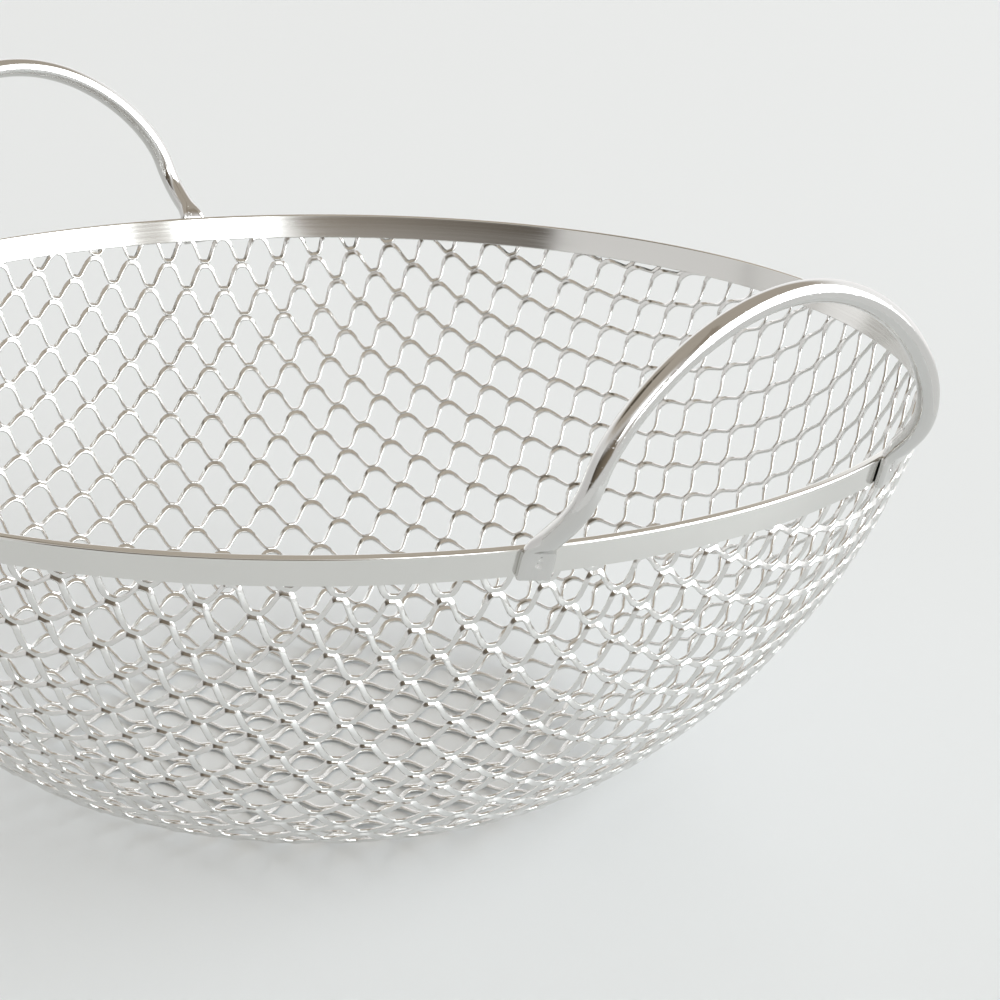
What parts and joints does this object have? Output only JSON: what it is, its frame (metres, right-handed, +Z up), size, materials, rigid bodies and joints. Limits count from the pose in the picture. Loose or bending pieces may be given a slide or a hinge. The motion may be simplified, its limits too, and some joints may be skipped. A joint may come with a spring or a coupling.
{
  "type": "colander",
  "caption": "Round stainless colander: a bowl drawn from expanded metal mesh, its edge held in a folded rim band, with an upright wire loop handle welded on either side.",
  "frame": {"origin": "middle of the flat floor's underside, on the surface that the colander stands on", "axes": "+X from the middle of the bowl towards the right handle, +Z up out of the bowl"},
  "size_m": [0.26, 0.2396, 0.1218],
  "materials": {
    "mesh_steel": "electropolished stainless mesh",
    "band_steel": "satin stainless strip",
    "wire_steel": "polished stainless wire"
  },
  "bodies": {
    "root": {"mesh_bowl": "mesh_steel", "rim_band": "band_steel", "handle_right": "wire_steel", "handle_left": "wire_steel"}
  },
  "joints": []
}
